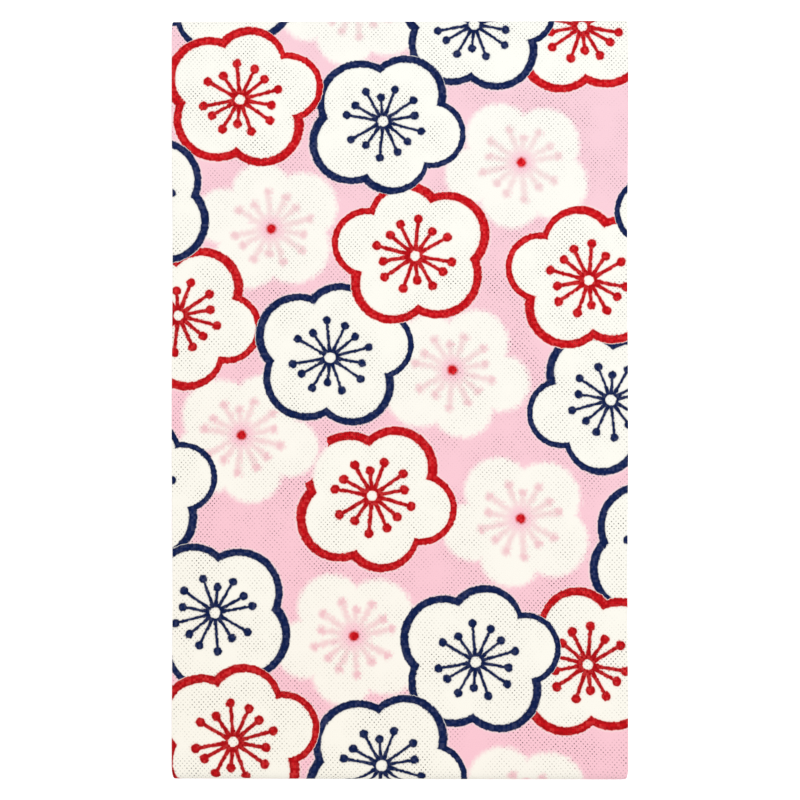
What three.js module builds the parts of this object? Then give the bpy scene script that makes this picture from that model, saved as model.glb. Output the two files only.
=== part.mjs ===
import * as THREE from "three";

// A cotton tenugui hand towel, folded flat. The cloth is folded in half twice across its width,
// which makes a strip of four plies. The strip is then folded in half and in thirds along its length,
// so it runs back and forth through six layers, and its front has a fold on every side.
// X runs across the folded towel, Y along it, and Z up from the surface that it lies on.

// Driving dimensions in millimetres.
const FACE_WIDTH = 91;
const FACE_LENGTH = 152;
const STRIP_THICKNESS = 1.36; // four plies of cotton sheeting, pressed
const LAYER_GAP = 0.36; // air between one strip layer and the next

// Slow swell of the stack: its rise as a share of the height, its wave lengths, and where the waves start.
const SOFT_WAVE = { rise: 0.022, across: 74, along: 108, startAcross: 1, startAlong: -0.6 };

// Folds are pressed, so their sections are squarer than half circles: 2 would be an ellipse.
const FOLD_SQUARENESS = 2.6;
const FOLD_STEPS = 10;
const RUN_STEPS = 8;

const LAYER_PITCH = STRIP_THICKNESS + LAYER_GAP;

// The strip's runs, in order along the cloth: each one's layer, counted from the underside, and its way along Y.
// inLeft and inRight are how far the layer's long edges lie inside the face's width.
const RUNS = [
  { layer: 1, heading: 1, inLeft: 0.45, inRight: 0.3 },
  { layer: 4, heading: -1, inLeft: 0.15, inRight: 0.5 },
  { layer: 5, heading: 1, inLeft: 0.35, inRight: 0.15 },
  { layer: 6, heading: -1, inLeft: 0, inRight: 0 },
  { layer: 3, heading: 1, inLeft: 0.5, inRight: 0.2 },
  { layer: 2, heading: -1, inLeft: 0.2, inRight: 0.55 },
];

// The fold after each run: bulge is how far its middle line stands past the run, setBack how far its crest
// lies inside the face's length, and skew how much further in the crest lies at the left than at the right.
const FOLDS = [
  { bulge: 2.0, setBack: 0, skew: 0.2 },
  { bulge: 0.8, setBack: LAYER_PITCH, skew: 0 },
  { bulge: 0.8, setBack: 0.2, skew: 0.25 },
  { bulge: 2.0, setBack: 0, skew: 0.2 },
  { bulge: 0.8, setBack: LAYER_PITCH, skew: 0 },
];

// The two cut ends of the cloth, at the start of the first run and the end of the last.
const CUT_ENDS = {
  first: { setBack: 2.4, skew: -0.5 },
  last: { setBack: 1.3, skew: 0.4 },
};

// Sections from the middle out to a long edge: place across the half width, and share of the strip's thickness.
const EDGE_SECTIONS = [
  { across: 0, fullness: 1 },
  { across: 0.4, fullness: 1 },
  { across: 0.8, fullness: 1 },
  { across: 0.965, fullness: 1 },
  { across: 0.986, fullness: 0.9 },
  { across: 0.996, fullness: 0.72 },
  { across: 1, fullness: 0.45 },
];

const leftSections = EDGE_SECTIONS.slice(1)
  .reverse()
  .map((section) => ({ ...section, across: -section.across }));
const SECTIONS = [...leftSections, ...EDGE_SECTIONS];

// How far in a crest or cut end lies at a place across the towel.
function inset(edge, across) {
  return edge.setBack + (edge.skew * (1 - across)) / 2;
}

function layerHeight(layer) {
  return STRIP_THICKNESS / 2 + (layer - 1) * LAYER_PITCH;
}

// The Y at which a run turns into the fold after it.
function turnPlace(run, fold, across) {
  const crest = FACE_LENGTH / 2 - inset(fold, across);
  return run.heading * (crest - STRIP_THICKNESS / 2 - fold.bulge);
}

function cutPlace(end, across) {
  return -(FACE_LENGTH / 2 - inset(end, across));
}

// A power of the sine or cosine that squares off a fold's section.
function squared(value) {
  return Math.sign(value) * Math.abs(value) ** (2 / FOLD_SQUARENESS);
}

// Points of one straight run, at an offset to the right of the way that the cloth runs.
function runPoints(run, from, to, offset) {
  const points = [];
  for (let step = 0; step <= RUN_STEPS; step += 1) {
    const y = THREE.MathUtils.lerp(from, to, step / RUN_STEPS);
    const z = layerHeight(run.layer) - run.heading * offset;
    points.push({ y, z, inLeft: run.inLeft, inRight: run.inRight });
  }
  return points;
}

// Points of the fold between two runs, without its ends, which belong to the runs.
function foldPoints(run, next, fold, across, offset) {
  const rise = Math.sign(next.layer - run.layer);
  const outward = run.heading * rise * offset;
  const halfSpan = (Math.abs(next.layer - run.layer) * LAYER_PITCH) / 2;
  const middle = (layerHeight(run.layer) + layerHeight(next.layer)) / 2;
  const points = [];
  for (let step = 1; step < FOLD_STEPS; step += 1) {
    const share = step / FOLD_STEPS;
    const angle = (share - 0.5) * Math.PI;
    const reach = (fold.bulge + outward) * squared(Math.cos(angle));
    points.push({
      y: turnPlace(run, fold, across) + run.heading * reach,
      z: middle + rise * (halfSpan + outward) * squared(Math.sin(angle)),
      inLeft: THREE.MathUtils.lerp(run.inLeft, next.inLeft, share),
      inRight: THREE.MathUtils.lerp(run.inRight, next.inRight, share),
    });
  }
  return points;
}

// One side of the strip from cut end to cut end, at a place across the towel.
function stripSide(across, offset) {
  const points = [];
  let from = cutPlace(CUT_ENDS.first, across);
  RUNS.forEach((run, index) => {
    const fold = FOLDS[index];
    const to = fold
      ? turnPlace(run, fold, across)
      : cutPlace(CUT_ENDS.last, across);
    points.push(...runPoints(run, from, to, offset));
    if (fold) {
      points.push(...foldPoints(run, RUNS[index + 1], fold, across, offset));
    }
    from = to;
  });
  return points;
}

// The stack swells and settles a little over its area, and stays flat underneath.
function swell(x, y) {
  const across = Math.sin((2 * Math.PI * x) / SOFT_WAVE.across + SOFT_WAVE.startAcross);
  const along = Math.cos((2 * Math.PI * y) / SOFT_WAVE.along + SOFT_WAVE.startAlong);
  return 1 + SOFT_WAVE.rise * across * along;
}

// The closed outline of the strip at one section, as points in space.
function sectionPoints(section) {
  const offset = (STRIP_THICKNESS * section.fullness) / 2;
  const outline = [
    ...stripSide(section.across, offset),
    ...stripSide(section.across, -offset).reverse(),
  ];
  return outline.map(({ y, z, inLeft, inRight }) => {
    const halfWidth = FACE_WIDTH / 2 - (section.across < 0 ? inLeft : inRight);
    const x = section.across * halfWidth;
    return new THREE.Vector3(x, y, z * swell(x, y));
  });
}

// A closed skin through all the sections, with a flat cap on each long edge.
function loft(sections) {
  const rings = sections.map(sectionPoints);
  const count = rings[0].length;
  const faces = [];
  for (let ring = 0; ring + 1 < rings.length; ring += 1) {
    for (let point = 0; point < count; point += 1) {
      const near = ring * count + point;
      const nearNext = ring * count + ((point + 1) % count);
      faces.push(near, nearNext, nearNext + count);
      faces.push(near, nearNext + count, near + count);
    }
  }
  const lastRing = (rings.length - 1) * count;
  const flat = (ring) => ring.map(({ y, z }) => new THREE.Vector2(y, z));
  for (const [a, b, c] of THREE.ShapeUtils.triangulateShape(flat(rings[0]), [])) {
    faces.push(c, b, a);
  }
  for (const [a, b, c] of THREE.ShapeUtils.triangulateShape(flat(rings.at(-1)), [])) {
    faces.push(lastRing + a, lastRing + b, lastRing + c);
  }
  const geometry = new THREE.BufferGeometry().setFromPoints(rings.flat());
  geometry.setIndex(faces);
  geometry.computeVertexNormals();
  return geometry;
}

const cotton = new THREE.MeshStandardMaterial({
  color: 0xf7d9d6,
  roughness: 0.9,
  metalness: 0,
});

const towel = new THREE.Mesh(loft(SECTIONS), cotton);
towel.name = "towel";

const group = new THREE.Group();
group.add(towel);

export default group;
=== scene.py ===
import math
import bpy
import numpy as np
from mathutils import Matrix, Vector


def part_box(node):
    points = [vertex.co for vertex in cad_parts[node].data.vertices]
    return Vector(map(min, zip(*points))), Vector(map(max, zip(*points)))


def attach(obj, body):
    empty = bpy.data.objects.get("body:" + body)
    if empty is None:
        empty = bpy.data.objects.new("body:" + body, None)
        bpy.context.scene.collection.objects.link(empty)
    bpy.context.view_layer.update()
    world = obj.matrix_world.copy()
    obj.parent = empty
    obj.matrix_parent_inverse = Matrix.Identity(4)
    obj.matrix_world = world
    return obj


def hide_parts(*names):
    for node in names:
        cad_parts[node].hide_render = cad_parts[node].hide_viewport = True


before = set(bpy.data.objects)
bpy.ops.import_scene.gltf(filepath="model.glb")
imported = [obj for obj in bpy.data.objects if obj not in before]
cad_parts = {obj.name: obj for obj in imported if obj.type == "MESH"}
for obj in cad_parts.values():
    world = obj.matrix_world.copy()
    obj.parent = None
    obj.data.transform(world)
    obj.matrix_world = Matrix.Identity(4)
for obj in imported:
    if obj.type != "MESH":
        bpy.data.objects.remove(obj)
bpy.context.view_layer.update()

# A printed cotton tenugui, folded flat. All sizes are in millimetres unless a name says otherwise.
MM = 0.001
face_low, face_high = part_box("towel")
FACE_WIDTH = (face_high.x - face_low.x) / MM
FACE_LENGTH = (face_high.y - face_low.y) / MM

# The stack: four plies make a strip, and the strip runs back and forth through six layers.
STRIP_THICKNESS = 1.36
LAYER_GAP = 0.36
LAYER_PITCH = STRIP_THICKNESS + LAYER_GAP
PLY_THICKNESS = 0.26
PLY_PITCH = (STRIP_THICKNESS - PLY_THICKNESS) / 3
LOWEST_PLY = PLY_THICKNESS / 2
# Folds are pressed, so their sections are squarer than half circles: 2 would be an ellipse.
FOLD_SQUARENESS, PLY_FOLD_SQUARENESS = 3.2, 4.5
SWELL = {"rise": 0.022, "across": 74, "along": 108, "start_across": 1, "start_along": -0.6}

# The strip's runs in order along the cloth: layer, heading along Y, and how far the long edges lie in.
RUNS = (
    {"layer": 1, "heading": 1, "in_left": 0.45, "in_right": 0.3},
    {"layer": 4, "heading": -1, "in_left": 0.15, "in_right": 0.5},
    {"layer": 5, "heading": 1, "in_left": 0.35, "in_right": 0.15},
    {"layer": 6, "heading": -1, "in_left": 0, "in_right": 0},
    {"layer": 3, "heading": 1, "in_left": 0.5, "in_right": 0.2},
    {"layer": 2, "heading": -1, "in_left": 0.2, "in_right": 0.55},
)
# The fold after each run: bulge past the run, set-back of its crest from the face's end, and skew across.
FOLDS = (
    {"bulge": 2.0, "set_back": 0, "skew": 0.2},
    {"bulge": 0.8, "set_back": LAYER_PITCH, "skew": 0},
    {"bulge": 0.8, "set_back": 0.2, "skew": 0.25},
    {"bulge": 2.0, "set_back": 0, "skew": 0.2},
    {"bulge": 0.8, "set_back": LAYER_PITCH, "skew": 0},
)
FIRST_CUT = {"set_back": 2.4, "skew": -0.5}
LAST_CUT = {"set_back": 1.3, "skew": 0.4}
FRONT_RUN = 3

# The plies of the strip, from the selvedge on its inner side to the other selvedge within it.
PLY_OFFSETS = (-1.5 * PLY_PITCH, 1.5 * PLY_PITCH, 0.5 * PLY_PITCH, -0.5 * PLY_PITCH)
PLY_FOLDS = (
    {"bulge": 0.5, "set_back": 0},
    {"bulge": 0.17, "set_back": 0},
    {"bulge": 0.17, "set_back": PLY_PITCH},
)
SELVEDGE_SET_BACK = (0.35, 0.9)
FRONT_PLY = 1

PLY_STEPS, PLY_FOLD_STEPS = 16, 9
RUN_STEPS, FOLD_STEPS = 26, 13
SMOOTH_ANGLE = 50

# Small wanderings that a press leaves in the layers and in their long edges: amount, wave lengths, the step
# of the wave from one layer to the next, and how much larger that step is along the towel than across it.
LAYER_DRIFT = {"amount": 0.09, "across": 83, "along": 119, "step": 2.3, "larger": 1.7}
EDGE_DRIFT = {"amount": 0.09, "along": 67, "step": 1.9}


# Shape of the folded cloth

def squared(value, squareness):
    """Squares off the sine or cosine of a fold's section."""
    return np.sign(value) * np.abs(value) ** (2 / squareness)


def inset(edge, across):
    return edge["set_back"] + edge["skew"] * (1 - across) / 2


def layer_height(run):
    return STRIP_THICKNESS / 2 + (run["layer"] - 1) * LAYER_PITCH


def ply_route():
    """Stations across the flat cloth: place on the face, offset in the strip, and cut width so far."""
    edge = (FACE_WIDTH - PLY_THICKNESS) / 2
    turns = [edge - fold["set_back"] - fold["bulge"] for fold in PLY_FOLDS]
    places, offsets = [], []
    start = -(edge - SELVEDGE_SET_BACK[0])
    for ply, offset in enumerate(PLY_OFFSETS):
        heading = 1 if ply % 2 == 0 else -1
        last = ply == len(PLY_FOLDS)
        end = -(edge - SELVEDGE_SET_BACK[1]) if last else heading * turns[ply]
        for share in np.linspace(0, 1, PLY_STEPS + 1):
            places.append(start + (end - start) * share)
            offsets.append(offset)
        if last:
            break
        to_offset = PLY_OFFSETS[ply + 1]
        middle, half_span = (offset + to_offset) / 2, (to_offset - offset) / 2
        for share in np.arange(1, PLY_FOLD_STEPS) / PLY_FOLD_STEPS:
            angle = (share - 0.5) * math.pi
            reach = PLY_FOLDS[ply]["bulge"] * squared(math.cos(angle), PLY_FOLD_SQUARENESS)
            places.append(end + heading * reach)
            offsets.append(middle + half_span * squared(math.sin(angle), PLY_FOLD_SQUARENESS))
        start = end
    places, offsets = np.array(places), np.array(offsets)
    steps = np.hypot(np.diff(places), np.diff(offsets))
    return places, offsets, np.concatenate([[0], np.cumsum(steps)])


def drift(layer, x, y):
    """How far a press leaves a layer off its level: none in the lowest, which lies flat."""
    phase = layer * LAYER_DRIFT["step"]
    across = np.sin(2 * math.pi * x / LAYER_DRIFT["across"] + phase)
    along = np.cos(2 * math.pi * y / LAYER_DRIFT["along"] + LAYER_DRIFT["larger"] * phase)
    return LAYER_DRIFT["amount"] * across * along * min(layer - 1, 1)


def swell(x, y):
    """The slow swell of the whole stack, as a factor on height."""
    across = np.sin(2 * math.pi * x / SWELL["across"] + SWELL["start_across"])
    along = np.cos(2 * math.pi * y / SWELL["along"] + SWELL["start_along"])
    return 1 + SWELL["rise"] * across * along


def run_row(run, start, end, share, x, offset):
    """One station of a straight run, for all the stations across."""
    y = start + (end - start) * share
    z = layer_height(run) - run["heading"] * offset + drift(run["layer"], x, y)
    return y, z, run["layer"] + 0 * x, run["in_left"], run["in_right"]


def fold_row(run, after, fold, turn, share, x, offset):
    """One station of the fold between two runs."""
    rise = np.sign(after["layer"] - run["layer"])
    outward = run["heading"] * rise * offset
    half_span = abs(after["layer"] - run["layer"]) * LAYER_PITCH / 2
    middle = (layer_height(run) + layer_height(after)) / 2
    angle = (share - 0.5) * math.pi
    reach = (fold["bulge"] + outward) * squared(math.cos(angle), FOLD_SQUARENESS)
    y = turn + run["heading"] * reach
    z = middle + rise * (half_span + outward) * squared(math.sin(angle), FOLD_SQUARENESS)
    z = z + drift(run["layer"], x, y) * (1 - share) + drift(after["layer"], x, y) * share
    layer = run["layer"] * (1 - share) + after["layer"] * share + 0 * x
    ends = [(1 - share) * run[side] + share * after[side] for side in ("in_left", "in_right")]
    return y, z, layer, *ends


def folded_cloth():
    """The cloth's points as rows along its length, and the cut width and length used up at each of them."""
    x, offset, cut_width = ply_route()
    across = 2 * x / FACE_WIDTH
    half_length = FACE_LENGTH / 2
    rows = []
    start = -(half_length - inset(FIRST_CUT, across))
    for index, run in enumerate(RUNS):
        fold = FOLDS[index] if index < len(FOLDS) else None
        if fold:
            crest = half_length - inset(fold, across)
            end = run["heading"] * (crest - STRIP_THICKNESS / 2 - fold["bulge"])
        else:
            end = -(half_length - inset(LAST_CUT, across))
        if index == FRONT_RUN:
            front = slice(len(rows), len(rows) + RUN_STEPS + 1)
        for share in np.linspace(0, 1, RUN_STEPS + 1):
            rows.append(run_row(run, start, end, share, x, offset))
        if fold:
            for share in np.arange(1, FOLD_STEPS) / FOLD_STEPS:
                rows.append(fold_row(run, RUNS[index + 1], fold, end, share, x, offset))
        start = end
    points = np.zeros((len(rows), len(x), 3))
    for place, (y, z, layer, in_left, in_right) in zip(points, rows):
        wave = np.sin(2 * math.pi * y / EDGE_DRIFT["along"] + EDGE_DRIFT["step"] * layer)
        lie_in = np.where(across < 0, in_left, in_right) + EDGE_DRIFT["amount"] * wave
        place[:, 0] = x * (1 - 2 * lie_in / FACE_WIDTH)
        place[:, 1] = y
        place[:, 2] = LOWEST_PLY + (z - LOWEST_PLY) * swell(place[:, 0], y)

    # The print is placed from the middle of the front, where X and Y are nought.
    ply = np.flatnonzero(offset == PLY_OFFSETS[FRONT_PLY])
    middle = ply[len(ply) // 2]
    steps = np.linalg.norm(np.diff(points[:, middle], axis=0), axis=1)
    cut_length = np.concatenate([[0], np.cumsum(steps)])
    width_at_middle = np.interp(0, -x[ply], cut_width[ply])
    length_at_middle = np.interp(0, -points[front, middle, 1], cut_length[front])
    return points, cut_width - width_at_middle, cut_length - length_at_middle


# The print: plum blossoms scattered on pink, in a repeat that runs on over the whole cloth.

# Places are from the middle of the front, across to the right and down, as the print reads.
REPEAT_ACROSS, REPEAT_DOWN = 113.5, 128
# The cloth of the front is pulled slightly wider and to the left at its foot: growth of the print, and its
# shift in millimetres, for each millimetre down.
PRINT_FLARE, PRINT_SKEW = 0.000276, 0.0012

# One blossom, as five arcs of a brush. Angles run clockwise from the right. A row is a petal's direction,
# how far from the blossom's middle it reaches, its width, the half width of its line, and the share of that
# which the line gains at its start and loses at its end.
PETALS = (
    {"angle": 50, "reach": 14.5, "width": 15, "brush": 0.75, "taper": 0.1},
    {"angle": 140, "reach": 14, "width": 16, "brush": 0.7, "taper": 0},
    {"angle": 215, "reach": 15.5, "width": 15.5, "brush": 0.75, "taper": 0.1},
    {"angle": 285, "reach": 14.5, "width": 14, "brush": 0.65, "taper": 0.25},
    {"angle": 345, "reach": 16.5, "width": 13, "brush": 0.55, "taper": 0},
)
MEAN_BRUSH = sum(petal["brush"] for petal in PETALS) / len(PETALS)
# Stamens in turn: angle, and how far the dot at the tip lies from the middle.
STAMENS = (
    {"angle": 10, "reach": 6.5},
    {"angle": 35, "reach": 7.5},
    {"angle": 70, "reach": 7},
    {"angle": 95, "reach": 5},
    {"angle": 120, "reach": 7},
    {"angle": 150, "reach": 6.5},
    {"angle": 170, "reach": 7.5},
    {"angle": 210, "reach": 7.5},
    {"angle": 235, "reach": 6},
    {"angle": 265, "reach": 7.5},
    {"angle": 295, "reach": 7},
    {"angle": 320, "reach": 6.5},
    {"angle": 345, "reach": 8},
)
STAMEN_DOT, STAMEN_HALF_WIDTH = 0.85, 0.3
RING_RADIUS, RING_HALF_WIDTH = 1.3, 0.25
# Stamens spread as they meet the ring: half width there, and where the spread ends.
FLARE_HALF_WIDTH, FLARE_END = 0.50, 3.0
# Red runs further into the cloth than navy: the width of the brush lines, as a share of the drawn ones, and
# how far the edges of red stamens lie out.
BRUSH_SHARE = {"red": 1.2, "navy": 1.05}
RED_SPREAD = 0.09
# Ink runs past the drawn edge by this much, with this blur, and a faint tint of it bleeds further along the
# threads.
INK_RUN, INK_BLUR = 0.015, 0.1
BLEED = {"reach": 0.55, "share": 0.07}
# An upper blossom hides what lies under it out to this many half widths of its line.
LINE_REACH = 1.12
# Pink stops this many half widths out from the middle of a line. Just past the line it is thin: where that
# begins and ends, in half widths, and the share of pink that is left there.
PINK_STOP = 0.9
PINK_THIN = {"begin": 1.0, "end": 1.5, "share": 0.5}
# Pale blossoms are blots without a line: how far inside the line's place they end, the blur of their edge,
# and the share of pink that runs over them.
PALE_SET_IN, PALE_BLUR, PALE_TINT = 0.8, 0.78, 0.03
# Their stamens have run to a blush, and a pink halo lies round the dot: where the blur of a tip, of a line
# and of the halo begins and ends, and how full each is.
PALE_TIP = {"begin": -0.6, "end": 0.6, "full": 1}
PALE_LINE = {"begin": -0.28, "end": 0.85, "full": 0.72}
PALE_HALO = {"begin": 1.2, "end": 4.2, "full": 1}
# How far a thread at the edge of a pale blossom takes up its pink before or after the next one.
PALE_GRAIN = 0.5
# A pale blossom that lies over an inked one breaks its line this far around it.
LINE_BREAK = 1.0
PALE_DOT, PALE_DOT_BLUR = 1.03, 0.28

TURNS = {"upright": (1, 1, 1), "upended": (1, -1, 1), "mirrored": (-1, 1, 1), "turned": (-1, -1, 1)}
# Blossoms from the lowest in the print to the highest: ink, turn, place across and place down, and the turn
# of the stamens where it is another. One that lies beneath a pale blossom names it.
PALE_BLOSSOMS = (
    {"name": "upper right", "turn": "turned", "across": 24.5, "down": -48},
    {"name": "upper left", "turn": "mirrored", "across": -26, "down": -34.5, "stamens": "upright"},
    {"name": "centre right", "turn": "upended", "across": 10.5, "down": -6},
    {"name": "lower right", "turn": "turned", "across": 24, "down": 23.5},
    {"name": "lower middle", "turn": "turned", "across": -9, "down": 46.5},
    {"name": "centre left", "turn": "upended", "across": -31.5, "down": 7},
)
INKED_BLOSSOMS = (
    {"ink": "red", "turn": "upended", "across": -5.5, "down": 19, "beneath": "centre left"},
    {"ink": "navy", "turn": "upended", "across": 52.5, "down": 29},
    {"ink": "red", "turn": "mirrored", "across": 37, "down": -76},
    {"ink": "navy", "turn": "upright", "across": 15, "down": -76.5},
    {"ink": "navy", "turn": "turned", "across": 42, "down": 0},
    {"ink": "red", "turn": "mirrored", "across": 38, "down": -24},
    {"ink": "red", "turn": "upended", "across": -44.5, "down": -17},
    {"ink": "navy", "turn": "upright", "across": -14, "down": -8.5},
    {"ink": "red", "turn": "mirrored", "across": 3, "down": -29},
    {"ink": "navy", "turn": "upended", "across": -3.5, "down": -56.5},
    {"ink": "navy", "turn": "upright", "across": -53, "down": 18},
    {"ink": "navy", "turn": "turned", "across": -36.5, "down": 42},
    {"ink": "red", "turn": "upright", "across": -32.5, "down": -61},
    {"ink": "navy", "turn": "turned", "across": -53.5, "down": -40.5},
)
# A distance beyond every blossom.
FAR = 99.0

# Colours in the order that they are laid: at the lit end of the front, and at its end in painted shade.
PRINT_COLOURS = {
    "Ground": ("#eaeae3", "#e8e4d9"),
    "Pink": ("#e7c1cb", "#e8b7c1"),
    "Blush": ("#e1c7c8", "#e0b2b7"),
    "Red": ("#c50b16", "#b20a12"),
    "Navy": ("#0d1f50", "#0a1c4a"),
}
# Painted shade: the colours are painted darker this way over the front, as if less light fell there, as far
# as this on either side of its middle.
PAINTED_SHADE_FALLOFF = {"way": (-0.5, 0.87, 0), "reach": 70}
# Red and navy dry darker in a rim: where it is full, counted in from the ink's edge, where its fading begins
# and ends, how much darker it is, and the fullness of the ink in the middle of a line.
DRYING = {"full": 0.25, "begin": 0.3, "end": 0.7, "darker": 0.27, "middle": 1.03}
# Threads take up the red and navy unevenly: the least and greatest depth of the ink on a thread, the most
# of the cloth that shows through it as a pale fleck, and the share of the crossings without one.
INK_UPTAKE, INK_FLECK, UNFLECKED = (0.8, 1.2), 0.03, 0.5
# How much of the print shows on the side that it was laid on, and on the reverse.
PRINT_STRENGTH, REVERSE_STRENGTH = 1.0, 0.3

# Threads of the plain weave: spacing of the ends and of the picks.
END_SPACING, PICK_SPACING = 0.440, 0.473
# Threads sway, and so do the print's edges, which also step from thread to thread. Scales are per millimetre.
SWAY = {"amount": 0.9, "scale": 0.12}
WOBBLE = {"amount": 0.22, "scale": 0.55}
THREAD_STEP = 0.16
# Painted shade in the gaps between the threads: the patches in which they lie open or closed, the range of a
# patch and of the openness that it gives, the change on pink and on pale blossoms, the least share that one
# gap keeps, and the reach of a gap's painted shade on the weave's wave, from its edge to its depth.
PATCHES = {"scale": 0.11, "detail": 2.5, "low": 0.36, "high": 0.66, "closed": 0.02, "open": 0.95}
OPENER_ON_PINK, OPENER_ON_PALE, LEAST_GAP = 0.15, -0.35, 0.35
GAP_EDGE, GAP_DEPTH = -0.35, -0.95
# Relief of the threads.
RELIEF, RELIEF_STRENGTH = 0.06, 0.3


def linear(hex_colour):
    """An sRGB hex colour as linear RGBA."""
    parts = [int(hex_colour[i : i + 2], 16) / 255 for i in (1, 3, 5)]
    return *(p / 12.92 if p <= 0.04045 else ((p + 0.055) / 1.055) ** 2.4 for p in parts), 1.0


def add(tree, kind, inputs=None, **settings):
    """Adds a node with its settings, links or sets its inputs, and returns its outputs."""
    made = tree.nodes.new(kind)
    for name, value in settings.items():
        setattr(made, name, value)
    for socket, value in (inputs or {}).items():
        if isinstance(value, bpy.types.NodeSocket):
            tree.links.new(value, made.inputs[socket])
        else:
            made.inputs[socket].default_value = value
    return made.outputs


MATH, VECTOR, MIX = "ShaderNodeMath", "ShaderNodeVectorMath", "ShaderNodeMix"
SPLIT, JOIN, RANGE = "ShaderNodeSeparateXYZ", "ShaderNodeCombineXYZ", "ShaderNodeMapRange"
NOISE, GROUP = "ShaderNodeTexNoise", "ShaderNodeGroup"


def new_group(name, inputs, outputs):
    """An empty node group: its sockets are named, with V for a vector and F for a number."""
    kinds = {"V": "NodeSocketVector", "F": "NodeSocketFloat"}
    tree = bpy.data.node_groups.new(name, "ShaderNodeTree")
    for way, sockets in (("INPUT", inputs), ("OUTPUT", outputs)):
        for socket, kind in sockets.items():
            tree.interface.new_socket(socket, in_out=way, socket_type=kinds[kind])
    return tree, add(tree, "NodeGroupInput"), tree.nodes.new("NodeGroupOutput")


def petal_group():
    """How far a place lies outside the petals' line, in millimetres and in half widths of the line."""
    tree, sockets, out = new_group("blossom petals", {"Place": "V"}, {"Edge": "F", "Stroke": "F"})
    edge, stroke = FAR, FAR
    for petal in PETALS:
        angle, radius, brush = math.radians(petal["angle"]), petal["width"] / 2, petal["brush"]
        distance = petal["reach"] - radius
        middle = distance * math.cos(angle), distance * math.sin(angle), 0
        apart = add(tree, VECTOR, {0: sockets["Place"], 1: middle}, operation="DISTANCE")["Value"]
        beyond = add(tree, MATH, {0: apart, 1: radius}, operation="SUBTRACT")[0]
        if petal["taper"]:
            onward = -math.sin(angle), math.cos(angle), 0
            along = add(tree, VECTOR, {0: sockets["Place"], 1: onward}, operation="DOT_PRODUCT")["Value"]
            ends = brush * (1 + petal["taper"]), brush * (1 - petal["taper"])
            brush = add(tree, RANGE, {0: along, 1: -radius, 2: radius, 3: ends[0], 4: ends[1]})[0]
        widths = add(tree, MATH, {0: beyond, 1: brush}, operation="DIVIDE")[0]
        edge = add(tree, MATH, {0: beyond, 1: edge}, operation="MINIMUM")[0]
        stroke = add(tree, MATH, {0: widths, 1: stroke}, operation="MINIMUM")[0]
    tree.links.new(edge, out.inputs["Edge"])
    tree.links.new(stroke, out.inputs["Stroke"])
    return tree


def placing_group(petals):
    """A place on the print as seen from one blossom's middle, in the nearest repeat."""
    inputs = {"Place": "V", "Middle": "V", "Turn": "V"}
    tree, sockets, out = new_group("placed blossom", inputs, {"Local": "V", "Edge": "F", "Stroke": "F"})
    apart = add(tree, VECTOR, {0: sockets["Place"], 1: sockets["Middle"]}, operation="SUBTRACT")[0]
    half = REPEAT_ACROSS / 2, REPEAT_DOWN / 2, 1
    wrapped = add(tree, VECTOR, {0: apart, 1: half, 2: [-size for size in half]}, operation="WRAP")[0]
    local = add(tree, VECTOR, {0: wrapped, 1: sockets["Turn"]}, operation="MULTIPLY")[0]
    edge, stroke = add(tree, GROUP, {"Place": local}, node_tree=petals)
    for name, value in (("Local", local), ("Edge", edge), ("Stroke", stroke)):
        tree.links.new(value, out.inputs[name])
    return tree


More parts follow.
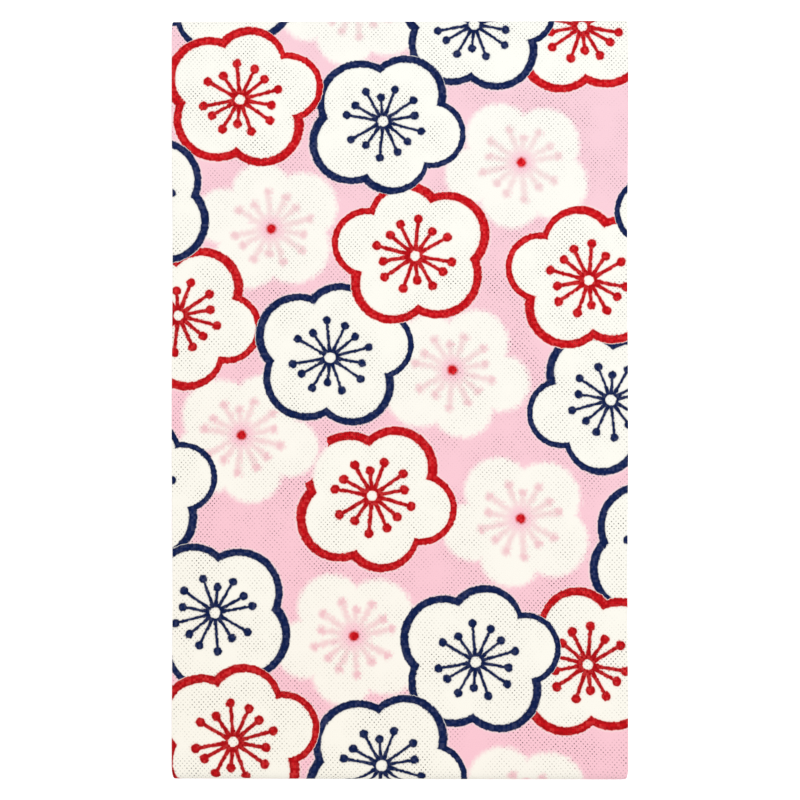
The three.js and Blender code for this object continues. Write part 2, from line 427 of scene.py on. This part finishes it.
def stamen_group():
    """Distance to the stamens' tips, and to their lines and ring, negative inside, and from the middle."""
    outputs = {"Tip": "F", "Line": "F", "Radius": "F"}
    tree, sockets, out = new_group("blossom stamens", {"Place": "V"}, outputs)
    x, y, _ = add(tree, SPLIT, {0: sockets["Place"]})
    radius = add(tree, VECTOR, {0: sockets["Place"]}, operation="LENGTH")["Value"]
    angle = add(tree, MATH, {0: y, 1: x}, operation="ARCTAN2")[0]

    # Each stamen owns the sector around it: a stepped ramp holds its reach, and its angle in parts of a turn.
    start = (STAMENS[0]["angle"] + STAMENS[-1]["angle"] - 360) / 2
    turn = add(tree, MATH, {0: angle, 1: 0.5 / math.pi, 2: -start / 360}, operation="MULTIPLY_ADD")[0]
    around = add(tree, MATH, {0: turn, 1: 1, 2: 0}, operation="WRAP")[0]
    sectors = add(tree, "ShaderNodeValToRGB", {0: around})[0]
    ramp = sectors.node.color_ramp
    ramp.interpolation = "CONSTANT"
    largest = max(stamen["reach"] for stamen in STAMENS)
    before = start
    for index, stamen in enumerate(STAMENS):
        place = (before - start) / 360
        stop = ramp.elements[index] if index < 2 else ramp.elements.new(place)
        stop.position = place
        stop.color = (stamen["reach"] / largest, (stamen["angle"] - start) / 360, 0, 1)
        if index + 1 < len(STAMENS):
            before = (stamen["angle"] + STAMENS[index + 1]["angle"]) / 2
    share, own_turn, _ = add(tree, "ShaderNodeSeparateColor", {0: sectors})
    reach = add(tree, MATH, {0: share, 1: largest}, operation="MULTIPLY")[0]
    off_turn = add(tree, MATH, {0: around, 1: own_turn}, operation="SUBTRACT")[0]
    off_axis = add(tree, MATH, {0: off_turn, 1: 2 * math.pi}, operation="MULTIPLY")[0]
    cosine = add(tree, MATH, {0: off_axis}, operation="COSINE")[0]
    sine = add(tree, MATH, {0: off_axis}, operation="SINE")[0]
    along = add(tree, MATH, {0: radius, 1: cosine}, operation="MULTIPLY")[0]
    aside = add(tree, MATH, {0: radius, 1: sine}, operation="MULTIPLY")[0]

    past = add(tree, MATH, {0: along, 1: reach}, operation="SUBTRACT")[0]
    from_tip = add(tree, JOIN, {0: past, 1: aside})[0]
    from_tip = add(tree, VECTOR, {0: from_tip}, operation="LENGTH")["Value"]
    tip = add(tree, MATH, {0: from_tip, 1: STAMEN_DOT}, operation="SUBTRACT")[0]
    spread = {0: radius, 1: RING_RADIUS, 2: FLARE_END, 3: FLARE_HALF_WIDTH, 4: STAMEN_HALF_WIDTH}
    half_width = add(tree, RANGE, spread)[0]
    off_line = add(tree, MATH, {0: aside}, operation="ABSOLUTE")[0]
    beside = add(tree, MATH, {0: off_line, 1: half_width}, operation="SUBTRACT")[0]
    line = add(tree, MATH, {0: beside, 1: past}, operation="MAXIMUM")[0]
    within = add(tree, MATH, {0: RING_RADIUS, 1: radius}, operation="SUBTRACT")[0]
    line = add(tree, MATH, {0: line, 1: within}, operation="MAXIMUM")[0]
    off_ring = add(tree, MATH, {0: within}, operation="ABSOLUTE")[0]
    ring = add(tree, MATH, {0: off_ring, 1: RING_HALF_WIDTH}, operation="SUBTRACT")[0]
    line = add(tree, MATH, {0: line, 1: ring}, operation="MINIMUM")[0]
    for name, value in zip(outputs, (tip, line, radius)):
        tree.links.new(value, out.inputs[name])
    return tree


def print_group():
    """The whole print: how much of each colour a place carries, and how deep in its ink it lies."""
    carried = {"Pink": "F", "Pale": "F", "Blush": "F", "Red": "F", "Navy": "F", "Depth": "F"}
    tree, sockets, out = new_group("plum blossom print", {"Place": "V", "Grain": "F"}, carried)
    petals = petal_group()
    placing = placing_group(petals)
    stamens = stamen_group()

    nearest_pale, pale_edges, pale_local = FAR, {}, (0, FAR, 0)
    for row in PALE_BLOSSOMS:
        middle = row["across"], row["down"], 0
        put = {"Place": sockets["Place"], "Middle": middle, "Turn": TURNS[row["turn"]]}
        local, edge, _ = add(tree, GROUP, put, node_tree=placing)
        pale_edges[row["name"]] = edge
        if "stamens" in row:
            other_way = [a * b for a, b in zip(TURNS[row["turn"]], TURNS[row["stamens"]])]
            local = add(tree, VECTOR, {0: local, 1: other_way}, operation="MULTIPLY")[0]
        nearer = add(tree, MATH, {0: edge, 1: nearest_pale}, operation="LESS_THAN")[0]
        pale_local = add(tree, MIX, {0: nearer, 4: pale_local, 5: local}, data_type="VECTOR")[1]
        nearest_pale = add(tree, MATH, {0: edge, 1: nearest_pale}, operation="MINIMUM")[0]

    nearest_inked, inked_local, is_navy = FAR, (0, FAR, 0), 0
    for row in INKED_BLOSSOMS:
        middle = row["across"], row["down"], 0
        put = {"Place": sockets["Place"], "Middle": middle, "Turn": TURNS[row["turn"]]}
        local, edge, stroke = add(tree, GROUP, put, node_tree=placing)
        if "beneath" in row:
            over_it = pale_edges[row["beneath"]]
            broken = add(tree, MATH, {0: over_it, 1: LINE_BREAK}, operation="LESS_THAN")[0]
            stroke = add(tree, MATH, {0: broken, 1: FAR, 2: stroke}, operation="MULTIPLY_ADD")[0]
            nearest_pale = add(tree, MATH, {0: edge, 1: nearest_pale}, operation="MINIMUM")[0]
        stroke = add(tree, MATH, {0: stroke, 1: BRUSH_SHARE[row["ink"]]}, operation="DIVIDE")[0]
        over = add(tree, MATH, {0: stroke, 1: LINE_REACH}, operation="LESS_THAN")[0]
        inked_local = add(tree, MIX, {0: over, 4: inked_local, 5: local}, data_type="VECTOR")[1]
        is_navy = add(tree, MIX, {0: over, 2: is_navy, 3: float(row["ink"] == "navy")})[0]
        nearest_inked = add(tree, MATH, {0: stroke, 1: nearest_inked}, operation="MINIMUM")[0]

    # Pink stays off every blossom, and is thin just beside the brush lines.
    nearest_pale = add(tree, MATH, {0: nearest_pale, 1: sockets["Grain"]}, operation="ADD")[0]
    blot = {0: nearest_pale, 1: -PALE_SET_IN - PALE_BLUR, 2: -PALE_SET_IN + PALE_BLUR, 3: PALE_TINT, 4: 1}
    off_pale = add(tree, RANGE, blot, interpolation_type="SMOOTHSTEP")[0]
    outside = add(tree, MATH, {0: nearest_inked, 1: PINK_STOP}, operation="GREATER_THAN")[0]
    thin = {0: nearest_inked, 1: PINK_THIN["begin"], 2: PINK_THIN["end"], 3: PINK_THIN["share"], 4: 1}
    beside = add(tree, RANGE, thin)[0]
    off_inked = add(tree, MATH, {0: outside, 1: beside}, operation="MULTIPLY")[0]
    pink = add(tree, MATH, {0: off_pale, 1: off_inked}, operation="MULTIPLY")[0]
    pale = add(tree, MATH, {0: outside, 1: off_pale}, operation="SUBTRACT", use_clamp=True)[0]

    # Pale blossoms have blurred stamens and a red dot in a pink halo.
    pale_tip, pale_line, pale_radius = add(tree, GROUP, {"Place": pale_local}, node_tree=stamens)
    blurred = []
    for away, blur in ((pale_tip, PALE_TIP), (pale_line, PALE_LINE), (pale_radius, PALE_HALO)):
        grained = add(tree, MATH, {0: away, 1: sockets["Grain"]}, operation="ADD")[0]
        fading = {0: grained, 1: blur["begin"], 2: blur["end"], 3: blur["full"], 4: 0}
        soft = add(tree, RANGE, fading, interpolation_type="SMOOTHSTEP")[0]
        blurred.append(add(tree, MATH, {0: soft, 1: outside}, operation="MULTIPLY")[0])
    soft_tip, soft_line, halo = blurred
    blush = add(tree, MATH, {0: soft_tip, 1: soft_line}, operation="MAXIMUM")[0]
    off_halo = add(tree, MATH, {0: 1, 1: halo}, operation="SUBTRACT")[0]
    blush = add(tree, MATH, {0: blush, 1: off_halo}, operation="MULTIPLY")[0]
    pink = add(tree, MATH, {0: pink, 1: halo}, operation="MAXIMUM")[0]
    dot_edge = {0: pale_radius, 1: PALE_DOT - PALE_DOT_BLUR, 2: PALE_DOT + PALE_DOT_BLUR, 3: 1, 4: 0}
    pale_dot = add(tree, RANGE, dot_edge)[0]
    pale_dot = add(tree, MATH, {0: pale_dot, 1: outside}, operation="MULTIPLY")[0]

    # Brush lines and stamens of the inked blossoms. Depth is counted in from the ink's edge.
    _, stroke = add(tree, GROUP, {"Place": inked_local}, node_tree=petals)
    off_line = add(tree, MATH, {0: stroke}, operation="ABSOLUTE")[0]
    widths = {0: is_navy, 1: 0, 2: 1, 3: BRUSH_SHARE["red"], 4: BRUSH_SHARE["navy"]}
    inside = add(tree, MATH, {0: add(tree, RANGE, widths)[0], 1: off_line}, operation="SUBTRACT")[0]
    line_depth = add(tree, MATH, {0: inside, 1: MEAN_BRUSH}, operation="MULTIPLY")[0]
    tip, stamen_line, _ = add(tree, GROUP, {"Place": inked_local}, node_tree=stamens)
    inked_stamens = add(tree, MATH, {0: tip, 1: stamen_line}, operation="MINIMUM")[0]
    spread = add(tree, RANGE, {0: is_navy, 1: 0, 2: 1, 3: RED_SPREAD, 4: 0})[0]
    stamen_depth = add(tree, MATH, {0: spread, 1: inked_stamens}, operation="SUBTRACT")[0]
    depth = add(tree, MATH, {0: line_depth, 1: stamen_depth}, operation="MAXIMUM")[0]
    depth = add(tree, MATH, {0: depth, 1: INK_RUN}, operation="ADD")[0]
    ink = add(tree, RANGE, {0: depth, 1: -INK_BLUR, 2: INK_BLUR})[0]
    bleed = {0: depth, 1: -BLEED["reach"], 2: 0, 3: 0, 4: BLEED["share"]}
    bleed = add(tree, RANGE, bleed, interpolation_type="SMOOTHSTEP")[0]
    ink = add(tree, MATH, {0: ink, 1: bleed}, operation="MAXIMUM")[0]
    navy = add(tree, MATH, {0: ink, 1: is_navy}, operation="MULTIPLY")[0]
    red = add(tree, MATH, {0: ink, 1: navy}, operation="SUBTRACT")[0]
    red = add(tree, MATH, {0: red, 1: pale_dot}, operation="MAXIMUM")[0]
    dot_depth = add(tree, MATH, {0: 2 * PALE_DOT, 1: pale_radius}, operation="SUBTRACT")[0]
    dot_depth = add(tree, MATH, {0: dot_depth, 1: outside}, operation="MULTIPLY")[0]
    depth = add(tree, MATH, {0: depth, 1: dot_depth}, operation="MAXIMUM")[0]
    for name, value in zip(carried, (pink, pale, blush, red, navy, depth)):
        tree.links.new(value, out.inputs[name])
    return tree


def cotton(name, strength, printed):
    """Plain-weave cotton sheeting, screen printed: matt, with painted shade in the openings between its
    threads, which shows as fine shaded dots, and the inks stepping from thread to thread at their edges.
    strength is how much of the print shows."""
    material = bpy.data.materials.new(name)
    material.use_nodes = True
    tree = material.node_tree
    shader = tree.nodes["Principled BSDF"]
    shader.inputs["Roughness"].default_value = 0.9
    shader.inputs["Specular IOR Level"].default_value = 0.08
    place = add(tree, "ShaderNodeUVMap", uv_map="print")[0]

    # Threads: places counted in ends and picks, which wander a little.
    sway = add(tree, NOISE, {"Vector": place, "Scale": SWAY["scale"], "Detail": 1})["Color"]
    sway_by = SWAY["amount"], SWAY["amount"], 0
    swayed = add(tree, VECTOR, {0: sway, 1: sway_by, 2: place}, operation="MULTIPLY_ADD")[0]
    counts = (1 / END_SPACING, 1 / PICK_SPACING, 0)
    threads = add(tree, VECTOR, {0: swayed, 1: counts}, operation="MULTIPLY")[0]
    crossing = add(tree, VECTOR, {0: threads}, operation="FLOOR")[0]
    by_crossing = add(tree, "ShaderNodeTexWhiteNoise", {"Vector": crossing}, noise_dimensions="2D")
    phases = add(tree, VECTOR, {0: threads, 1: (math.pi, math.pi, 0)}, operation="MULTIPLY")[0]
    waves = add(tree, VECTOR, {0: phases}, operation="SINE")[0]
    end_wave, pick_wave, _ = add(tree, SPLIT, {0: waves})
    weave = add(tree, MATH, {0: end_wave, 1: pick_wave}, operation="MULTIPLY")[0]

    # Ink soaks a whole thread or stops before it, so print edges are stepped at the scale of a thread.
    stepped = add(tree, VECTOR, {0: by_crossing["Color"], 1: (0.5, 0.5, 0)}, operation="SUBTRACT")[0]
    step_by = {0: stepped, 1: (THREAD_STEP, THREAD_STEP, 0), 2: place}
    edge_place = add(tree, VECTOR, step_by, operation="MULTIPLY_ADD")[0]
    wobble = add(tree, NOISE, {"Vector": place, "Scale": WOBBLE["scale"], "Detail": 2})["Color"]
    wobble = add(tree, VECTOR, {0: wobble, 1: (0.5, 0.5, 0.5)}, operation="SUBTRACT")[0]
    wobble_by = {0: wobble, 1: (WOBBLE["amount"], WOBBLE["amount"], 0), 2: edge_place}
    edge_place = add(tree, VECTOR, wobble_by, operation="MULTIPLY_ADD")[0]
    grain = {0: by_crossing["Value"], 1: PALE_GRAIN, 2: -PALE_GRAIN / 2}
    grain = add(tree, MATH, grain, operation="MULTIPLY_ADD")[0]
    amounts = add(tree, GROUP, {"Place": edge_place, "Grain": grain}, node_tree=printed)
    pink, pale, _, _, _, depth = amounts

    # Painted shade: the print and the cloth are painted lighter towards the upper right of the front and
    # darker towards its lower left, as if the light fell off that way.
    lean = add(tree, VECTOR, {0: place, 1: PAINTED_SHADE_FALLOFF["way"]}, operation="DOT_PRODUCT")["Value"]
    painted_shade_share = add(tree, RANGE, {0: lean, 1: -PAINTED_SHADE_FALLOFF["reach"], 2: PAINTED_SHADE_FALLOFF["reach"]})[0]
    # Ink is fullest in the middle of a line and dries darker just inside its edge.
    rim = add(tree, RANGE, {0: depth, 1: 0, 2: DRYING["full"]})[0]
    fullness = {0: depth, 1: DRYING["begin"], 2: DRYING["end"], 3: 1, 4: 0}
    rim = add(tree, MATH, {0: rim, 1: add(tree, RANGE, fullness)[0]}, operation="MULTIPLY")[0]
    dried = {0: rim, 1: -DRYING["darker"], 2: DRYING["middle"]}
    drying = add(tree, MATH, dried, operation="MULTIPLY_ADD")[0]
    thread_draw, _, _ = add(tree, SPLIT, {0: by_crossing["Color"]})
    uptake = add(tree, RANGE, {0: thread_draw, 1: 0, 2: 1, 3: INK_UPTAKE[0], 4: INK_UPTAKE[1]})[0]
    depth_of_ink = add(tree, MATH, {0: drying, 1: uptake}, operation="MULTIPLY")[0]
    flecks = {0: by_crossing["Value"], 1: UNFLECKED, 2: 1, 3: 1, 4: 1 - INK_FLECK}
    covered = add(tree, RANGE, flecks)[0]
    colour = None
    for layer, (lit_end, painted_shade_end) in PRINT_COLOURS.items():
        ends = {0: painted_shade_share, 6: linear(lit_end), 7: linear(painted_shade_end)}
        ink = add(tree, MIX, ends, data_type="RGBA")[2]
        if layer == "Ground":
            colour = ink
            continue
        share = add(tree, MATH, {0: amounts[layer], 1: strength}, operation="MULTIPLY")[0]
        if layer in ("Red", "Navy"):
            ink = add(tree, VECTOR, {0: ink, 3: depth_of_ink}, operation="SCALE")[0]
            share = add(tree, MATH, {0: share, 1: covered}, operation="MULTIPLY")[0]
        colour = add(tree, MIX, {0: share, 6: colour, 7: ink}, data_type="RGBA")[2]

    # Painted shade: every second crossing has a gap that is painted in shade, open in some patches of the
    # cloth, closed in others.
    spread = {"Vector": place, "Scale": PATCHES["scale"], "Detail": PATCHES["detail"]}
    patches = add(tree, NOISE, spread)["Fac"]
    opening = {0: patches, 1: PATCHES["low"], 2: PATCHES["high"], 3: PATCHES["closed"], 4: PATCHES["open"]}
    openness = add(tree, RANGE, opening)[0]
    on_pink = add(tree, MATH, {0: pink, 1: OPENER_ON_PINK, 2: 1}, operation="MULTIPLY_ADD")[0]
    openness = add(tree, MATH, {0: openness, 1: on_pink}, operation="MULTIPLY")[0]
    on_pale = add(tree, MATH, {0: pale, 1: OPENER_ON_PALE, 2: 1}, operation="MULTIPLY_ADD")[0]
    openness = add(tree, MATH, {0: openness, 1: on_pale}, operation="MULTIPLY")[0]
    by_gap = add(tree, RANGE, {0: by_crossing["Value"], 1: 0, 2: 1, 3: LEAST_GAP, 4: 1})[0]
    openness = add(tree, MATH, {0: openness, 1: by_gap}, operation="MULTIPLY")[0]
    # The painted shade of a gap follows the weave's wave down into its depth.
    deep = {0: weave, 1: GAP_EDGE, 2: GAP_DEPTH}
    gap_shade_mask = add(tree, RANGE, deep, interpolation_type="SMOOTHSTEP")[0]
    painted_gap_shade = add(tree, MATH, {0: gap_shade_mask, 1: openness}, operation="MULTIPLY")[0]
    shade = add(tree, MATH, {0: 1, 1: painted_gap_shade}, operation="SUBTRACT", use_clamp=True)[0]
    colour = add(tree, VECTOR, {0: colour, 3: shade}, operation="SCALE")[0]
    tree.links.new(colour, shader.inputs["Base Color"])

    height = add(tree, MATH, {0: weave}, operation="ABSOLUTE")[0]
    relief = {"Strength": RELIEF_STRENGTH, "Distance": RELIEF * MM, "Height": height}
    bump = add(tree, "ShaderNodeBump", relief)[0]
    tree.links.new(bump, shader.inputs["Normal"])
    return material


# The towel

# Room on a flat picture of the cloth, in parts of its side: left, bottom, width and height of each field. The
# front with the folds around it has most of it, then the rest of the printed side, the reverse and the edges.
PICTURE_FIELDS = {
    "front": (0.002, 0.002, 0.592, 0.996),
    "printed": (0.600, 0.002, 0.398, 0.800),
    "reverse": (0.600, 0.810, 0.398, 0.140),
    "ends": (0.600, 0.956, 0.398, 0.016),
    "selvedges": (0.600, 0.980, 0.398, 0.016),
}
# Shares of a field's room: for each ply and the fold after it, and for each run and the fold after it. The
# second ply and the first run show on the underside.
PLY_ROOM = (0.09, 0.09, 0.46, 0.09, 0.09, 0.09, 0.09)
RUN_ROOM = (0.40, 0.04, 0.09, 0.02, 0.09, 0.04, 0.09, 0.04, 0.09, 0.02, 0.08)


def shares_of_room(room, steps, fold_steps):
    """Where each station lies in a field, from the room that the straight and folded stretches have."""
    ends = [0]
    for stretch in range(len(room)):
        ends.append(ends[-1] + (steps if stretch % 2 == 0 else fold_steps))
    return np.interp(np.arange(ends[-1] + 1), ends, np.concatenate([[0], np.cumsum(room)]) / sum(room))


def lay_out_picture(towel, cut_width, cut_length):
    """A map of the cloth for a flat picture of its colours, on which the faces that show are large."""
    across = shares_of_room(PLY_ROOM, PLY_STEPS, PLY_FOLD_STEPS)
    along = shares_of_room(RUN_ROOM, RUN_STEPS, FOLD_STEPS)
    corners = np.empty(len(towel.data.loops), np.int32)
    towel.data.loops.foreach_get("vertex_index", corners)
    corners = corners.reshape(-1, 4)
    side, station = np.divmod(corners, len(across) * len(along))
    down, over = np.divmod(station, len(across))

    # The front runs from the fold before it to the end of the fold after, with the ply folds at its sides.
    first_over, last_over = PLY_STEPS, 2 * (PLY_STEPS + PLY_FOLD_STEPS)
    last_down = (FRONT_RUN + 1) * (RUN_STEPS + FOLD_STEPS)
    first_down = last_down - RUN_STEPS - 2 * FOLD_STEPS
    front_across = np.interp(cut_width, cut_width[[first_over, last_over]], (0, 1))
    front_along = np.interp(cut_length, cut_length[[first_down, last_down]], (0, 1))
    within = (over >= first_over) & (over <= last_over) & (down >= first_down) & (down <= last_down)

    edge = side.min(axis=1) < side.max(axis=1)
    printed = ~edge & (side[:, 0] == 0)
    front = printed & within.all(axis=1)
    selvedge = edge & (over.min(axis=1) == over.max(axis=1))
    faces = {
        "front": (front, front_across[over], front_along[down]),
        "printed": (printed & ~front, across[over], along[down]),
        "reverse": (~edge & ~printed, across[over], along[down]),
        "ends": (edge & ~selvedge, across[over], (side + 2 * (down > 0)) / 3),
        "selvedges": (selvedge, along[down], (side + 2 * (over > 0)) / 3),
    }
    places = np.zeros(corners.shape + (2,), np.float32)
    for field, (chosen, x, y) in faces.items():
        left, bottom, width, height = PICTURE_FIELDS[field]
        places[chosen, :, 0] = left + width * x[chosen]
        places[chosen, :, 1] = bottom + height * y[chosen]
    layer = towel.data.uv_layers.new(name="OFBake")
    layer.uv.foreach_set("vector", places.reshape(-1))


def make_towel():
    """A flat cut of cloth, laid onto its folds and given its thickness."""
    points, cut_width, cut_length = folded_cloth()
    count_down, count_across = points.shape[:2]
    bpy.ops.object.select_all(action="DESELECT")
    steps = {"x_subdivisions": count_across - 1, "y_subdivisions": count_down - 1}
    bpy.ops.mesh.primitive_grid_add(**steps, size=1)
    towel = bpy.context.object
    towel.name = towel.data.name = "tenugui"
    towel.data.vertices.foreach_set("co", (points * MM).reshape(-1))

    across, down = np.meshgrid(-cut_width, cut_length)
    near = np.clip(down, -FACE_LENGTH / 2, FACE_LENGTH / 2)
    print_across = across / (1 + PRINT_FLARE * near) + PRINT_SKEW * near
    print_down = near / (1 + PRINT_FLARE * near) + down - near
    places = np.stack([print_across, print_down], axis=2).reshape(-1, 2)
    corners = np.empty(len(towel.data.loops), np.int32)
    towel.data.loops.foreach_get("vertex_index", corners)
    layer = towel.data.uv_layers[0]
    layer.name = "print"
    layer.uv.foreach_set("vector", places[corners].astype(np.float32).reshape(-1))

    printed = print_group()
    towel.data.materials.append(cotton("printed cotton sheeting", PRINT_STRENGTH, printed))
    towel.data.materials.append(cotton("cotton sheeting reverse", REVERSE_STRENGTH, printed))
    thicken = towel.modifiers.new("thickness of the cloth", "SOLIDIFY")
    thicken.thickness = PLY_THICKNESS * MM
    thicken.offset = 0
    thicken.material_offset = 1
    thicken.material_offset_rim = 1
    bpy.ops.object.modifier_apply(modifier=thicken.name)
    bpy.ops.object.shade_smooth_by_angle(angle=math.radians(SMOOTH_ANGLE))
    lay_out_picture(towel, cut_width, cut_length)
    return towel


towel = make_towel()
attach(towel, "root")
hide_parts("towel")


# Floor, light and camera

# How far the lowest ply beds into the table.
BEDDING = 0.02
# Sizes and places in metres, and strengths in Blender's units.
FLOOR_SIZE, FLOOR_GLOW = 6, 0.3
SOFTBOX = {"place": (0.12, 0.16, 1.6), "size": 0.5, "energy": 16.1}
SKY_STRENGTH = 0.61
NEAREST_SEEN, FURTHEST_SEEN = 0.01, 20


def make_floor():
    """A white acrylic table, lit a little from beneath so that it stays white around the cloth."""
    bpy.ops.object.select_all(action="DESELECT")
    bpy.ops.mesh.primitive_plane_add(size=FLOOR_SIZE, location=(0, 0, BEDDING * MM))
    bpy.ops.object.transform_apply()
    floor = bpy.context.object
    floor.name = "floor"
    acrylic = bpy.data.materials.new("white acrylic")
    acrylic.use_nodes = True
    shader = acrylic.node_tree.nodes["Principled BSDF"]
    shader.inputs["Base Color"].default_value = linear("#fafafa")
    shader.inputs["Roughness"].default_value = 0.9
    shader.inputs["Specular IOR Level"].default_value = 0.0
    shader.inputs["Emission Color"].default_value = (1, 1, 1, 1)
    shader.inputs["Emission Strength"].default_value = FLOOR_GLOW
    floor.data.materials.append(acrylic)


def make_light():
    """Even white light from all round, and one softbox above the towel."""
    scene = bpy.context.scene
    world = bpy.data.worlds.new("studio")
    world.use_nodes = True
    world.node_tree.nodes["Background"].inputs["Color"].default_value = (1, 1, 1, 1)
    world.node_tree.nodes["Background"].inputs["Strength"].default_value = SKY_STRENGTH
    scene.world = world
    bpy.ops.object.light_add(type="AREA", location=SOFTBOX["place"])
    softbox = bpy.context.object
    softbox.name = "softbox"
    softbox.data.shape = "SQUARE"
    softbox.data.size = SOFTBOX["size"]
    softbox.data.energy = SOFTBOX["energy"]
    softbox.rotation_euler = (-softbox.location).to_track_quat("-Z", "Y").to_euler()
    scene.view_settings.view_transform = "Standard"


# The picture's side in pixels, the size of a pixel at the towel's front, and the lens.
PHOTO_PIXELS, PIXEL_SIZE, LENS = 800, 0.1995, 160


def make_camera():
    """A long lens that looks straight down at the front."""
    data = bpy.data.cameras.new("camera")
    data.lens = LENS
    data.clip_start, data.clip_end = NEAREST_SEEN, FURTHEST_SEEN
    camera = bpy.data.objects.new("camera", data)
    bpy.context.scene.collection.objects.link(camera)
    distance = PHOTO_PIXELS * PIXEL_SIZE * LENS / data.sensor_width
    camera.location = (0, 0, face_high.z + distance * MM)
    bpy.context.scene.camera = camera


make_floor()
make_light()
make_camera()

bpy.context.view_layer.update()
